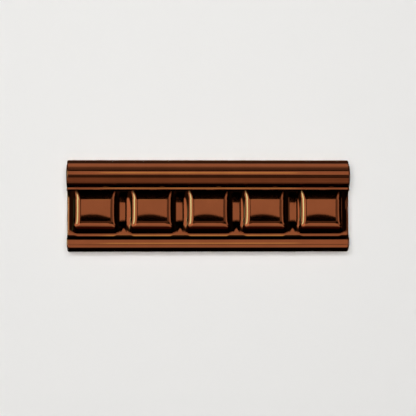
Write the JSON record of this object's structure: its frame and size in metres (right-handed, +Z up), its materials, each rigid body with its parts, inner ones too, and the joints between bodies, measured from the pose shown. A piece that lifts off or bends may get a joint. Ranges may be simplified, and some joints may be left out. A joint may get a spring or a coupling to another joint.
{
  "type": "dentil moulding tile",
  "caption": "Straight glazed ceramic moulding tile: a torus over a recessed row of pillow-faced dentils, a cove and a small lower bead. Its flat back is bonded to a wall.",
  "frame": {"origin": "middle of the flat back, on the land that is bonded to the wall", "axes": "+X along the moulding, +Y out of the back into the wall, +Z up towards the torus; the front faces -Y"},
  "size_m": [0.152, 0.0155, 0.0494],
  "materials": {
    "glazed_body": "glossy treacle-brown glaze on the front and edges, bare buff biscuit on the back"
  },
  "bodies": {
    "root": {"moulding_tile": "glazed_body"}
  },
  "joints": []
}
